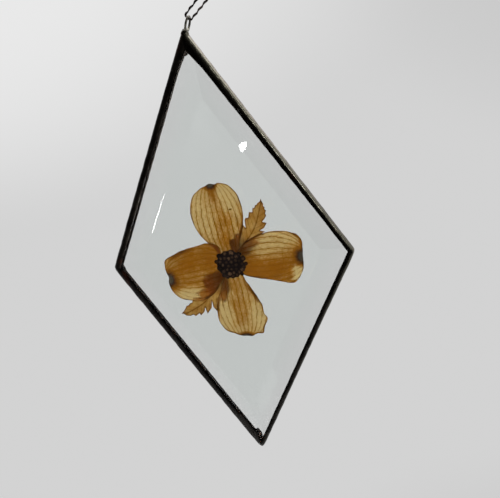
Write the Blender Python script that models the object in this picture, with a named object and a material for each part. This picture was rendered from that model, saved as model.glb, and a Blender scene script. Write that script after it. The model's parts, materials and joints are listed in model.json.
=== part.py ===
# Pressed flower suncatcher: a dogwood bloom and two serrated leaves held between two bevelled
# glass diamonds, bound by a soldered rim and hung by a ring and two chain links.
# Metres, +Z up, front towards -Y. The origin is the centre of the hang ring at the chain's end.
import bpy
import bmesh
import math
from mathutils import Vector

MM = 0.001

# Glass diamond: four equal sides, 60 degrees at the top and bottom
GLASS_SIDE = 101.6 * MM
HALF_WIDTH = GLASS_SIDE * math.sin(math.radians(30))
HALF_HEIGHT = GLASS_SIDE * math.cos(math.radians(30))
PLATE_GAP = 1.3 * MM
PLATE_EDGE = 0.9 * MM
PLATE_MIDDLE = 4.8 * MM
BEVEL_WIDTH = 12.0 * MM

# Soldered rim, as a U round the glass edge
RIM_OVERLAP = 1.6 * MM
RIM_OUT = 0.85 * MM
RIM_CLEAR = 0.15 * MM
RIM_WALL = 0.28 * MM
RIM_SIDE_CLEAR = 0.25 * MM
RIM_CHAMFER = 0.25 * MM
RIM_LIP_DROP = 0.12 * MM
RIM_BULGE = ((-0.4, 2.1), (0.3, 1.84), (0.7, 1.25))
RIM_FLANK = 0.5 * MM
BLOB_CENTRE = Vector((0.6, 0, 89.0)) * MM
BLOB_RADII = Vector((1.8, 2.1, 1.7)) * MM

# Ring soldered into the top of the rim, square to the panel
RING_RADIUS = 2.6 * MM
RING_WIRE = 0.43 * MM
RING_GROOVE = 0.2 * MM
RING_POINTS = 28
RING_LEAN = math.radians(22)
RING_CENTRE = Vector((1.97, 0, 91.79)) * MM
PIVOT_ON_PANEL = RING_CENTRE + Vector((math.sin(RING_LEAN), 0, math.cos(RING_LEAN))) * RING_RADIUS
PLUMB_TURN = -math.atan2(PIVOT_ON_PANEL.x, PIVOT_ON_PANEL.z)

# Chain of two crinkled links and a plain hang ring, leaning to the right
CHAIN_LEAN = math.radians(51.2)
CHAIN_DIRECTION = Vector((math.sin(CHAIN_LEAN), 0, math.cos(CHAIN_LEAN)))
CHAIN_ACROSS = Vector((-math.cos(CHAIN_LEAN), 0, math.sin(CHAIN_LEAN)))
LINK_PITCH = 12.0 * MM
LINK_BEND = 1.43 * MM
LINK_WIRE = 0.4 * MM
LINK_CRINKLE = 0.17 * MM
LINK_SWELL = 0.14
LINK_WAVES = 8
LINK_POINTS = 56
HANG_RING_RADIUS = 5.0 * MM
HANG_RING_WIRE = 0.5 * MM
HANG_RING_POINTS = 36
CHAIN_LENGTH = LINK_PITCH + LINK_BEND + LINK_PITCH + HANG_RING_RADIUS
PIVOT = -CHAIN_DIRECTION * CHAIN_LENGTH

# Flower, all of it pressed flat between the plates
FLOWER_CENTRE = Vector((1.85, 0, -1.35)) * MM
OUTLINE_UNIT = 0.99 * MM
PRESSED_SHEET = 0.12 * MM
SIDE_BRACT_DEPTH = -0.12 * MM
UPRIGHT_BRACT_DEPTH = 0.16 * MM
LEAF_DEPTH = 0.44 * MM
HEAD_DEPTH = -0.42 * MM
HEAD_RELIEF = 0.08 * MM
HEAD_CORE_RADIUS = 3.2 * MM
HEAD_CORE_BACK = 0.45 * MM
HEAD_DISC_RADIUS = 5.3 * MM
BUD_RADIUS = 0.95 * MM
BUD_RINGS = ((1, 0.0), (6, 1.9), (13, 4.9))

# Each bract points along its angle. Its outline is (distance from the flower's centre, distance
# to the left of its line) in outline units, from the base on the left round the tip to the right.
# A bract's outline is smoothed through its points; a leaf's points are its lobes, teeth and notches.
BRACTS = {
    "bract_top": (94.2, UPRIGHT_BRACT_DEPTH, (
        (4.2, 2.6), (7.4, 5.0), (12.5, 9.1), (18.0, 11.2), (24.0, 11.2), (29.5, 9.3), (33.2, 5.6),
        (34.0, 2.6), (33.3, 0.0), (33.5, -3.0), (32.0, -7.4), (28.0, -9.9), (21.5, -10.5),
        (15.0, -9.1), (9.0, -6.3), (4.2, -3.2))),
    "bract_right": (2.5, SIDE_BRACT_DEPTH, (
        (4.2, 4.0), (8.0, 8.3), (13.5, 10.7), (20.0, 11.6), (25.3, 11.0), (29.3, 8.8), (30.9, 5.0),
        (30.6, 0.2), (30.2, -3.0), (29.3, -6.2), (26.4, -9.8), (23.6, -10.6), (16.5, -8.8),
        (8.5, -6.7), (4.2, -4.2))),
    "bract_bottom": (-88.8, UPRIGHT_BRACT_DEPTH, (
        (4.2, 3.2), (8.0, 5.0), (12.5, 7.2), (18.6, 9.7), (22.5, 10.0), (25.3, 11.0), (29.5, 8.9),
        (31.6, 8.0), (31.8, 5.0), (32.9, 2.8), (32.5, 0.2), (32.3, -2.2), (31.2, -4.6),
        (30.3, -7.0), (28.4, -9.0), (23.9, -10.6), (17.9, -9.9), (12.1, -7.4), (4.2, -2.8))),
    "bract_left": (-172.3, SIDE_BRACT_DEPTH, (
        (4.2, 4.2), (7.0, 7.3), (11.0, 11.0), (15.7, 13.0), (20.0, 12.8), (26.0, 11.0), (28.9, 8.0),
        (29.4, 4.8), (28.8, 2.2), (28.7, 0.0), (29.3, -2.2), (29.2, -5.0), (27.7, -7.5),
        (22.0, -9.5), (16.5, -10.2), (10.2, -10.5), (6.9, -9.2), (4.2, -4.8))),
}
LEAVES = {
    "leaf_upper": (56.2, LEAF_DEPTH, (
        (4.6, 0.9), (7.0, 3.4), (9.1, 4.9), (10.9, 2.9), (12.6, 3.8), (14.0, 1.9), (15.8, 2.6),
        (17.8, 2.5), (16.9, 0.6), (18.5, 1.6), (19.8, 2.4), (20.8, 2.5), (21.4, 1.5), (23.7, 2.2),
        (24.3, 0.9), (26.0, 1.6), (26.3, 0.9), (27.4, 1.2), (27.9, 0.6), (28.6, 0.7), (29.7, 0.1),
        (31.0, 0.2), (30.2, -0.5), (29.5, -1.6), (28.7, -1.8), (28.5, -2.7), (27.8, -2.8),
        (27.6, -3.6), (26.3, -3.9), (25.7, -4.6), (24.4, -4.5), (22.6, -4.2), (23.1, -6.0),
        (20.7, -5.9), (18.9, -4.8), (19.5, -6.9), (17.2, -5.4), (15.3, -3.9), (14.5, -6.8),
        (12.2, -6.0), (10.2, -4.6), (8.2, -5.6), (6.4, -3.6), (4.6, -1.2))),
    "leaf_lower": (-141.5, LEAF_DEPTH, (
        (4.6, 1.6), (8.9, 7.0), (12.4, 8.8), (15.0, 9.7), (14.8, 6.4), (18.2, 9.2), (21.0, 9.7),
        (20.7, 7.6), (18.9, 5.1), (21.7, 7.3), (25.1, 7.9), (23.6, 5.0), (25.3, 6.3), (27.9, 6.5),
        (27.8, 5.3), (30.1, 5.1), (30.3, 3.9), (31.7, 3.5), (32.6, 2.6), (33.1, 2.2), (33.4, 0.8),
        (34.2, 0.0), (32.3, -0.1), (30.2, -0.6), (29.8, -0.9), (28.5, -0.3), (27.7, -0.6),
        (25.2, -1.0), (22.8, -0.4), (21.1, 1.0), (21.2, -1.7), (18.4, -1.6), (16.3, -0.3),
        (14.5, -4.2), (11.1, -3.8), (8.0, -2.6), (4.6, -1.2))),
}
OUTLINE_STEPS = 5

# Name, base colour, roughness, metallic, alpha
FINISHES = {
    "bevelled_glass": ((0.90, 0.95, 0.94), 0.02, 0.0, 0.25),
    "patina_solder": ((0.035, 0.035, 0.030), 0.38, 0.85, 1.0),
    "tinned_wire": ((0.16, 0.155, 0.14), 0.32, 0.95, 1.0),
    "dark_chain_wire": ((0.045, 0.035, 0.035), 0.35, 0.9, 1.0),
    "dried_bract": ((0.46, 0.25, 0.075), 0.7, 0.0, 1.0),
    "dried_buds": ((0.055, 0.028, 0.016), 0.8, 0.0, 1.0),
    "dried_leaf": ((0.30, 0.145, 0.055), 0.75, 0.0, 1.0),
}


def clear_scene():
    for old in list(bpy.data.objects):
        bpy.data.objects.remove(old, do_unlink=True)


def new_collection(name):
    made = bpy.data.collections.new(name)
    bpy.context.scene.collection.children.link(made)
    return made


def finish_material(name):
    colour, roughness, metallic, alpha = FINISHES[name]
    made = bpy.data.materials.new(name)
    made.use_nodes = True
    shader = made.node_tree.nodes["Principled BSDF"]
    shader.inputs["Base Color"].default_value = (*colour, 1.0)
    shader.inputs["Roughness"].default_value = roughness
    shader.inputs["Metallic"].default_value = metallic
    shader.inputs["Alpha"].default_value = alpha
    return made


def add_object(name, data, collection, material=None):
    made = bpy.data.objects.new(name, data)
    collection.objects.link(made)
    if material:
        made.data.materials.append(material)
    return made


def put_on_panel(piece, pivot):
    # The panel's pieces are drawn from the middle of the glass, and hang from the pivot.
    piece.parent = pivot
    piece.location = -PIVOT_ON_PANEL


def make_cutter(piece):
    piece.hide_render = True
    piece.display_type = "WIRE"


def mesh_from(bm, name):
    mesh = bpy.data.meshes.new(name)
    bmesh.ops.recalc_face_normals(bm, faces=bm.faces)
    bm.to_mesh(mesh)
    bm.free()
    return mesh


def half_stack(inset):
    # Half the thickness of the glued-up glass at a distance in from its edge
    slope = (PLATE_MIDDLE - PLATE_EDGE) / BEVEL_WIDTH
    return PLATE_GAP / 2 + PLATE_EDGE + slope * inset


def diamond_corners(outset, y):
    # Corners of the glass outline moved out by outset, at a depth
    grow = 1 + outset * GLASS_SIDE / (HALF_WIDTH * HALF_HEIGHT)
    wide = HALF_WIDTH * grow
    tall = HALF_HEIGHT * grow
    return [Vector((0, y, tall)), Vector((wide, y, 0)), Vector((0, y, -tall)), Vector((-wide, y, 0))]


def loft_rings(rings, closed):
    # Joins rings of corners into one skin, closed round the section or capped at both ends
    bm = bmesh.new()
    loops = [[bm.verts.new(corner) for corner in ring] for ring in rings]
    count = len(loops[0])
    pairs = list(zip(loops, loops[1:]))
    if closed:
        pairs.append((loops[-1], loops[0]))
    else:
        bm.faces.new(loops[0])
        bm.faces.new(loops[-1])
    for near, far in pairs:
        for i in range(count):
            j = (i + 1) % count
            bm.faces.new((near[i], near[j], far[j], far[i]))
    return bm


def add_plate(name, side, collection, material, pivot):
    # side is -1 for the front plate and 1 for the back one; the flat face looks inwards.
    inner = side * PLATE_GAP / 2
    edge = side * half_stack(0)
    crown = side * half_stack(BEVEL_WIDTH)
    rings = [diamond_corners(0, inner), diamond_corners(0, edge), diamond_corners(-BEVEL_WIDTH, crown)]
    plate = add_object(name, mesh_from(loft_rings(rings, False), name), collection, material)
    put_on_panel(plate, pivot)
    return plate


def rim_section():
    # The U as (distance out from the glass edge, depth), from the front lip round to the back one
    lip = RIM_OVERLAP
    lip_inner = half_stack(lip) + RIM_CLEAR
    lip_outer = lip_inner + RIM_WALL
    edge_inner = half_stack(0) + RIM_CLEAR
    outside = [(-lip, lip_inner), (-lip, lip_outer - RIM_LIP_DROP), (-lip + RIM_CHAMFER, lip_outer)]
    outside += [(out * MM, deep * MM) for out, deep in RIM_BULGE]
    outside.append((RIM_OUT, RIM_FLANK))
    front = [(out, -deep) for out, deep in outside]
    back = [(out, deep) for out, deep in reversed(outside)]
    channel = [(RIM_SIDE_CLEAR, edge_inner), (RIM_SIDE_CLEAR, -edge_inner)]
    return front + back + channel


def add_rim(collection, cutters, material, pivot):
    rings = [diamond_corners(out, deep) for out, deep in rim_section()]
    rim = add_object("solder_border", mesh_from(loft_rings(rings, True), "solder_border"),
                     collection, material)
    put_on_panel(rim, pivot)

    bm = bmesh.new()
    bmesh.ops.create_uvsphere(bm, u_segments=16, v_segments=10, radius=1.0)
    bmesh.ops.scale(bm, vec=BLOB_RADII, verts=bm.verts)
    bmesh.ops.translate(bm, vec=BLOB_CENTRE, verts=bm.verts)
    blob = add_object("solder_blob", mesh_from(bm, "solder_blob"), cutters)

    reach = RIM_OVERLAP + 1.0 * MM
    clear_edge = half_stack(0) + RIM_CLEAR
    clear_reach = half_stack(reach) + RIM_CLEAR
    rings = [diamond_corners(-reach, -clear_reach), diamond_corners(RIM_SIDE_CLEAR, -clear_edge),
             diamond_corners(RIM_SIDE_CLEAR, clear_edge), diamond_corners(-reach, clear_reach)]
    glass_room = add_object("glass_room", mesh_from(loft_rings(rings, False), "glass_room"), cutters)

    groove = add_object("ring_groove", ring_mesh("ring_groove", RING_WIRE + RING_GROOVE), cutters)

    for cutter, operation in ((blob, "UNION"), (glass_room, "DIFFERENCE"), (groove, "DIFFERENCE")):
        put_on_panel(cutter, pivot)
        make_cutter(cutter)
        joint = rim.modifiers.new(cutter.name, "BOOLEAN")
        joint.object = cutter
        joint.operation = operation
    return rim


def wire_curve(name, points, wire_radius, swell=None):
    # A closed wire along the points; swell gives each point's thickness factor
    curve = bpy.data.curves.new(name, "CURVE")
    curve.dimensions = "3D"
    curve.bevel_depth = wire_radius
    curve.bevel_resolution = 2
    curve.use_fill_caps = True
    spline = curve.splines.new("POLY")
    spline.points.add(len(points) - 1)
    for i, point in enumerate(points):
        spline.points[i].co = (*point, 1.0)
        spline.points[i].radius = swell[i] if swell else 1.0
    spline.use_cyclic_u = True
    return curve


def circle_points(centre, radius, first, second, count):
    turns = [math.tau * i / count for i in range(count)]
    return [centre + first * math.cos(a) * radius + second * math.sin(a) * radius for a in turns]


def ring_points():
    up = Vector((math.sin(RING_LEAN), 0, math.cos(RING_LEAN)))
    return circle_points(RING_CENTRE, RING_RADIUS, up, Vector((0, 1, 0)), RING_POINTS)


def ring_mesh(name, wire_radius):
    # The soldered ring's wire as a mesh, for the groove that it is set in
    curve_object = bpy.data.objects.new(name + "_wire", wire_curve(name, ring_points(), wire_radius))
    bpy.context.scene.collection.objects.link(curve_object)
    bpy.context.view_layer.update()
    shape = curve_object.evaluated_get(bpy.context.evaluated_depsgraph_get())
    mesh = bpy.data.meshes.new_from_object(shape)
    bpy.data.objects.remove(curve_object)
    bm = bmesh.new()
    bm.from_mesh(mesh)
    bmesh.ops.remove_doubles(bm, verts=bm.verts, dist=0.00001)
    return mesh_from(bm, name)


def link_path(start, along, across):
    # A long loop with two straight legs and two round bends, crinkled all the way round
    leg = LINK_PITCH
    bend = math.pi * LINK_BEND
    total = 2 * leg + 2 * bend
    points = []
    swell = []
    for i in range(LINK_POINTS):
        s = total * i / LINK_POINTS
        if s < leg:
            place, outward = Vector((s, LINK_BEND)), Vector((0, 1))
        elif s < leg + bend:
            turn = (s - leg) / LINK_BEND
            outward = Vector((math.sin(turn), math.cos(turn)))
            place = Vector((leg, 0)) + outward * LINK_BEND
        elif s < 2 * leg + bend:
            place, outward = Vector((2 * leg + bend - s, -LINK_BEND)), Vector((0, -1))
        else:
            turn = (s - 2 * leg - bend) / LINK_BEND
            outward = Vector((-math.sin(turn), -math.cos(turn)))
            place = outward * LINK_BEND
        wave = math.sin(math.tau * LINK_WAVES * s / total)
        place += outward * LINK_CRINKLE * wave
        points.append(start + along * place.x + across * place.y)
        swell.append(1.0 + LINK_SWELL * math.cos(2 * math.tau * LINK_WAVES * s / total))
    return points, swell


def add_chain(collection, chain_material, ring_material):
    front_to_back = Vector((0, 1, 0))
    upper_start = PIVOT + CHAIN_DIRECTION * (LINK_PITCH + LINK_BEND)
    for name, start, across in (("chain_link_lower", PIVOT, CHAIN_ACROSS),
                                ("chain_link_upper", upper_start, front_to_back)):
        points, swell = link_path(start, CHAIN_DIRECTION, across)
        add_object(name, wire_curve(name, points, LINK_WIRE, swell), collection, chain_material)
    points = circle_points(Vector(), HANG_RING_RADIUS, CHAIN_DIRECTION, CHAIN_ACROSS, HANG_RING_POINTS)
    add_object("hang_ring", wire_curve("hang_ring", points, HANG_RING_WIRE), collection, ring_material)


def smooth_outline(points, steps):
    # A closed Catmull-Rom curve through the points
    smooth = []
    count = len(points)
    for i in range(count):
        a, b, c, d = (Vector(points[(i + k) % count]) for k in (-1, 0, 1, 2))
        for step in range(steps):
            t = step / steps
            smooth.append(0.5 * (2 * b + (c - a) * t + (2 * a - 5 * b + 4 * c - d) * t * t
                                 + (3 * b - a - 3 * c + d) * t * t * t))
    return smooth


def place_outline(points, angle):
    # From (along, left) about the flower's centre to (x, z) on the panel
    turn = math.radians(angle)
    along = Vector((math.cos(turn), math.sin(turn)))
    left = Vector((-math.sin(turn), math.cos(turn)))
    centre = Vector((FLOWER_CENTRE.x, FLOWER_CENTRE.z))
    return [centre + along * u + left * v for u, v in points]


def add_pressed_sheet(name, outline, depth, collection, material, pivot):
    curve = bpy.data.curves.new(name, "CURVE")
    curve.dimensions = "2D"
    curve.fill_mode = "BOTH"
    curve.extrude = PRESSED_SHEET / 2
    spline = curve.splines.new("POLY")
    spline.points.add(len(outline) - 1)
    for i, point in enumerate(outline):
        spline.points[i].co = (point.x, point.y, 0, 1)
    spline.use_cyclic_u = True
    sheet = add_object(name, curve, collection, material)
    put_on_panel(sheet, pivot)
    sheet.location.y += depth
    sheet.rotation_euler.x = math.radians(90)
    return sheet


def add_flower_sheets(collection, bract_material, leaf_material, pivot):
    for name, (angle, depth, points) in BRACTS.items():
        outline = smooth_outline([(u * OUTLINE_UNIT, v * OUTLINE_UNIT) for u, v in points], OUTLINE_STEPS)
        add_pressed_sheet(name, place_outline(outline, angle), depth, collection, bract_material, pivot)
    for name, (angle, depth, points) in LEAVES.items():
        toothed = place_outline([(u * OUTLINE_UNIT, v * OUTLINE_UNIT) for u, v in points], angle)
        add_pressed_sheet(name, toothed, depth, collection, leaf_material, pivot)


def add_flower_head(collection, buds, material, pivot):
    # A core that runs back between the bracts, with a crown of small flattened buds in front
    front = HEAD_DEPTH
    bm = bmesh.new()
    bmesh.ops.create_cone(bm, cap_ends=True, segments=20, radius1=HEAD_CORE_RADIUS,
                          radius2=HEAD_CORE_RADIUS, depth=HEAD_CORE_BACK - front)
    bmesh.ops.translate(bm, vec=(0, 0, -(HEAD_CORE_BACK + front) / 2), verts=bm.verts)
    head = add_object("flower_head", mesh_from(bm, "flower_head"), collection, material)
    put_on_panel(head, pivot)
    head.location += FLOWER_CENTRE
    head.rotation_euler.x = math.radians(90)

    for ring, (count, radius) in enumerate(BUD_RINGS):
        for i in range(count):
            turn = math.tau * (i + 0.5 * ring) / count
            bm = bmesh.new()
            bmesh.ops.create_uvsphere(bm, u_segments=12, v_segments=6, radius=1.0)
            bmesh.ops.scale(bm, vec=(BUD_RADIUS, HEAD_RELIEF, BUD_RADIUS), verts=bm.verts)
            name = "bud_%d_%d" % (ring, i)
            bud = add_object(name, mesh_from(bm, name), buds)
            put_on_panel(bud, pivot)
            place = Vector((math.cos(turn), 0, math.sin(turn))) * radius * MM
            bud.location += FLOWER_CENTRE + place + Vector((0, front, 0))
            make_cutter(bud)

    bm = bmesh.new()
    bmesh.ops.create_cone(bm, cap_ends=True, segments=32, radius1=HEAD_DISC_RADIUS,
                          radius2=HEAD_DISC_RADIUS, depth=HEAD_RELIEF)
    disc = add_object("head_disc", mesh_from(bm, "head_disc"), buds)
    put_on_panel(disc, pivot)
    disc.location += FLOWER_CENTRE + Vector((0, front, 0))
    disc.rotation_euler.x = math.radians(90)
    make_cutter(disc)

    join = head.modifiers.new("buds", "BOOLEAN")
    join.operand_type = "COLLECTION"
    join.collection = buds
    join.operation = "UNION"
    return head


def main():
    clear_scene()
    suncatcher = new_collection("pressed_flower_suncatcher")
    cutters = new_collection("cutters")
    buds = new_collection("head_buds")
    finish = {name: finish_material(name) for name in FINISHES}

    pivot = bpy.data.objects.new("panel_pivot", None)
    suncatcher.objects.link(pivot)
    pivot.location = PIVOT
    pivot.rotation_euler.y = PLUMB_TURN

    add_plate("glass_front", -1, suncatcher, finish["bevelled_glass"], pivot)
    add_plate("glass_back", 1, suncatcher, finish["bevelled_glass"], pivot)
    add_rim(suncatcher, cutters, finish["patina_solder"], pivot)
    ring = add_object("soldered_ring", wire_curve("soldered_ring", ring_points(), RING_WIRE),
                      suncatcher, finish["tinned_wire"])
    put_on_panel(ring, pivot)
    add_chain(suncatcher, finish["dark_chain_wire"], finish["tinned_wire"])
    add_flower_sheets(suncatcher, finish["dried_bract"], finish["dried_leaf"], pivot)
    add_flower_head(suncatcher, buds, finish["dried_buds"], pivot)


main()
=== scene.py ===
import json
import math

import bmesh
import bpy
import numpy as np
from mathutils import Euler, Matrix, Vector, noise


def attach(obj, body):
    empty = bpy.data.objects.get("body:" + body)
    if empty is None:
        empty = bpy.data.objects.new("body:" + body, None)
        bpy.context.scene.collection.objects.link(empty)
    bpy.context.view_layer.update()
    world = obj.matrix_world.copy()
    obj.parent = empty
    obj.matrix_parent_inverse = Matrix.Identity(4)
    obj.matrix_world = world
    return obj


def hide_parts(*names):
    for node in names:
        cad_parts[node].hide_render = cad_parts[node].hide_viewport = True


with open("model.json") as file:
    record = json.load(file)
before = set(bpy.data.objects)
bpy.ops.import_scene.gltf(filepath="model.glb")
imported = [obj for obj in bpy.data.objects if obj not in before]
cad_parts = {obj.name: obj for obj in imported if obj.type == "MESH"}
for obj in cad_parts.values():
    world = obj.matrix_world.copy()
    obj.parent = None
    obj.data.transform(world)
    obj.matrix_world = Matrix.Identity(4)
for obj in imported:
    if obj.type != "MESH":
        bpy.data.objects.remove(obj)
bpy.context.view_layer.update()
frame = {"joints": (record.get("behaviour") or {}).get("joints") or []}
bpy.context.scene.view_settings.view_transform = "Standard"

mm = 0.001
noise.seed_set(5)  # without it, noise_vector starts from the clock and no two runs are alike

# The panel hangs from its ring. Its pieces are drawn from the middle of the glass, then hung.
hanging = {
    "pivot": Vector(frame["joints"][0]["pos_m"]),
    "pivotOnPanel": Vector((2.944, 0, 94.2007)) * mm,
    "plumbTurn": math.radians(-1.790036),
    "chainLean": math.radians(51.2),
}
hungAt = (Matrix.Translation(hanging["pivot"]) @ Matrix.Rotation(hanging["plumbTurn"], 4, "Y")
          @ Matrix.Translation(-hanging["pivotOnPanel"]))


# Hand tools

def takeNew(name, scale=(1, 1, 1)):
    # The primitive that was just added, with its place, turn and scale put into its mesh
    piece = bpy.context.object
    piece.name = piece.data.name = name
    piece.scale = scale
    bpy.ops.object.transform_apply(location=True, rotation=True, scale=True)
    return piece


def makeActive(piece):
    bpy.ops.object.select_all(action="DESELECT")
    piece.select_set(True)
    bpy.context.view_layer.objects.active = piece


def openMesh():
    bpy.ops.object.mode_set(mode="EDIT")


def closeMesh():
    bpy.ops.object.mode_set(mode="OBJECT")


def extrude(depth):
    bpy.ops.mesh.extrude_region_move(TRANSFORM_OT_translate={"value": (0, depth, 0)})


def pick(kind, test):
    # In edit mode, selects only the points, edges or faces that pass the test
    bpy.ops.mesh.select_mode(type=kind)
    bpy.ops.mesh.select_all(action="DESELECT")
    shape = bmesh.from_edit_mesh(bpy.context.object.data)
    for part in {"VERT": shape.verts, "EDGE": shape.edges, "FACE": shape.faces}[kind]:
        if test(part):
            part.select_set(True)
    shape.select_flush_mode()
    bmesh.update_edit_mesh(bpy.context.object.data)


def applyModifier(piece, kind, **settings):
    makeActive(piece)
    added = piece.modifiers.new(kind.lower(), kind)
    for key, value in settings.items():
        setattr(added, key, value)
    bpy.ops.object.modifier_apply(modifier=added.name)


def faceOutwards(piece):
    makeActive(piece)
    openMesh()
    bpy.ops.mesh.select_all(action="SELECT")
    bpy.ops.mesh.remove_doubles(threshold=0.01 * mm)
    bpy.ops.mesh.normals_make_consistent(inside=False)
    closeMesh()


def movePoints(piece, move):
    for point in piece.data.vertices:
        point.co = move(point.co)


def giveValues(piece, name, values):
    # Stores a number on each point, for the finish to read
    stored = piece.data.attributes.new(name, "FLOAT", "POINT")
    stored.data.foreach_set("value", values)


def joinInto(piece, others):
    makeActive(piece)
    for other in others:
        other.select_set(True)
    bpy.ops.object.join()
    return piece


def smooth(piece, degrees):
    makeActive(piece)
    bpy.ops.object.shade_smooth_by_angle(angle=math.radians(degrees))


def settle(piece, material, body, slot, degrees, *nodes):
    # Hung with the panel where it rides on that, smoothed, then its finish, its body and the plain
    # nodes that it stands for
    if body == "panel":
        piece.data.transform(hungAt)
        piece.data.update()
    smooth(piece, degrees)
    if material:
        piece.data.materials.clear()
        piece.data.materials.append(material)
    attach(piece, body)
    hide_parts(*nodes)
    print("made", piece.name, len(piece.data.polygons), "faces")


def mix(a, b, share):
    return a + (b - a) * share


def ease(value, low, high):
    # 0 below low, 1 above high, smooth between
    t = min(1.0, max(0.0, (value - low) / (high - low)))
    return t * t * (3 - 2 * t)


# Shader tools

class Wire:
    # A shader socket that takes part in sums like a number
    def __init__(self, finish, socket):
        self.finish = finish
        self.socket = socket

    def __add__(self, other):
        return self.finish.sum("ADD", self, other)

    def __radd__(self, other):
        return self.finish.sum("ADD", other, self)

    def __sub__(self, other):
        return self.finish.sum("SUBTRACT", self, other)

    def __rsub__(self, other):
        return self.finish.sum("SUBTRACT", other, self)

    def __mul__(self, other):
        return self.finish.sum("MULTIPLY", self, other)

    def __rmul__(self, other):
        return self.finish.sum("MULTIPLY", other, self)

    def __truediv__(self, other):
        return self.finish.sum("DIVIDE", self, other)


class Nodes:
    # Adds nodes to a tree, of a material or of the room's light
    def __init__(self, tree):
        self.tree = tree

    def node(self, kind, settings=None, sockets=None, output=0):
        made = self.tree.nodes.new("ShaderNode" + kind)
        for key, value in (settings or {}).items():
            setattr(made, key, value)
        for key, value in (sockets or {}).items():
            if isinstance(value, Wire):
                self.tree.links.new(value.socket, made.inputs[key])
            else:
                made.inputs[key].default_value = value
        return Wire(self, made.outputs[output])

    def sum(self, operation, *values):
        return self.node("Math", {"operation": operation}, dict(enumerate(values)))

    def blend(self, factor, first, second):
        # Colours as wires or as (r, g, b)
        ends = [value if isinstance(value, Wire) else (*value, 1) for value in (first, second)]
        return self.node("Mix", {"data_type": "RGBA"}, {0: factor, 6: ends[0], 7: ends[1]}, 2)

    def window(self, value, low, high):
        # 0 at low and 1 at high, eased
        return self.node("MapRange", {"interpolation_type": "SMOOTHSTEP"},
                         {0: value, 1: low, 2: high, 3: 0.0, 4: 1.0})

    def line(self, value, middle, reach):
        # 1 at the middle and 0 from reach outwards
        return 1.0 - self.window(self.sum("ABSOLUTE", value - middle), 0.0, reach)

    def spot(self, u, v, place, size):
        # 1 in the middle of an oval and 0 from its edge outwards
        du = (u - place[0]) * (1 / size[0])
        dv = (v - place[1]) * (1 / size[1])
        return 1.0 - self.window(du * du + dv * dv, 0.0, 1.0)

    def stripes(self, value, width):
        # 1 along each whole number of value
        return 1.0 - self.window(self.sum("ABSOLUTE", self.sum("FRACT", value + 0.5) - 0.5), 0.0, width)

    def cloud(self, place, scale, detail=3.0, rough=0.55):
        return self.node("TexNoise", None, {"Vector": place, "Scale": scale, "Detail": detail,
                                            "Roughness": rough})

    def flat(self, u, v):
        return self.node("CombineXYZ", None, {0: u, 1: v})

    def flatGrey(self, value):
        return self.node("CombineColor", None, {0: value, 1: value, 2: value})

    def axes(self, place):
        return [self.node("SeparateXYZ", None, {0: place}, k) for k in range(3)]


class Finish(Nodes):
    # A material with one Principled shader
    def __init__(self, name, **shaderValues):
        self.material = bpy.data.materials.new(name)
        self.material.use_nodes = True
        super().__init__(self.material.node_tree)
        self.shader = self.tree.nodes["Principled BSDF"]
        self.output = self.tree.nodes["Material Output"]
        for key, value in shaderValues.items():
            self.shader.inputs[key.replace("_", " ")].default_value = value

    def place(self):
        return self.node("TexCoord", None, None, "Object")

    def attribute(self, name):
        return self.node("Attribute", {"attribute_name": name}, None, "Fac")

    def feed(self, **wires):
        for key, wire in wires.items():
            self.tree.links.new(wire.socket, self.shader.inputs[key.replace("_", " ")])

    def bump(self, height, strength, distance):
        self.feed(Normal=self.node("Bump", None, {"Height": height, "Strength": strength,
                                                  "Distance": distance}))

    def letThrough(self, share, tone, pale, deep):
        # Light from behind comes through a pressed sheet in two tones. The share and the tone vary.
        ends = [self.node("BsdfTranslucent", None, {"Color": (*colour, 1)}) for colour in (pale, deep)]
        through = self.node("MixShader", None, {0: tone, 1: ends[0], 2: ends[1]})
        both = self.node("MixShader", None, {0: share, 1: Wire(self, self.shader.outputs[0]), 2: through})
        self.tree.links.new(both.socket, self.output.inputs["Surface"])


def srgb(red, green, blue):
    # A colour as read from a screen, made linear
    def linear(value):
        value /= 255
        return value / 12.92 if value <= 0.04045 else ((value + 0.055) / 1.055) ** 2.4
    return linear(red), linear(green), linear(blue)


# Bevelled glass

glass = {
    "side": 101.6 * mm,
    "gap": 1.3 * mm,  # between the two plates
    "edge": 0.9 * mm,  # thickness at the rim
    "middle": 4.8 * mm,  # thickness inside the bevels
    "bevel": 12.0 * mm,  # width of the ground band
    "ridge": 0.60 * mm,  # rounding of the ridges
    "ridgeSteps": 4,
    "index": 1.52,
    "tint": (0.76, 0.975, 0.88),  # the green that thick glass takes on
    "density": 20.0,
}
halfWidth = glass["side"] * math.sin(math.radians(30))
halfHeight = glass["side"] * math.cos(math.radians(30))


def halfStack(inset):
    slope = (glass["middle"] - glass["edge"]) / glass["bevel"]
    return glass["gap"] / 2 + glass["edge"] + slope * inset


def glassFinish():
    finish = Finish("bevelled glass", Base_Color=(1, 1, 1, 1), Roughness=0.0, IOR=glass["index"],
                    Transmission_Weight=1.0)
    soak = finish.node("VolumeAbsorption", None,
                       {"Color": (*glass["tint"], 1), "Density": glass["density"]})
    finish.tree.links.new(soak.socket, finish.output.inputs["Volume"])
    return finish.material


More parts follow.
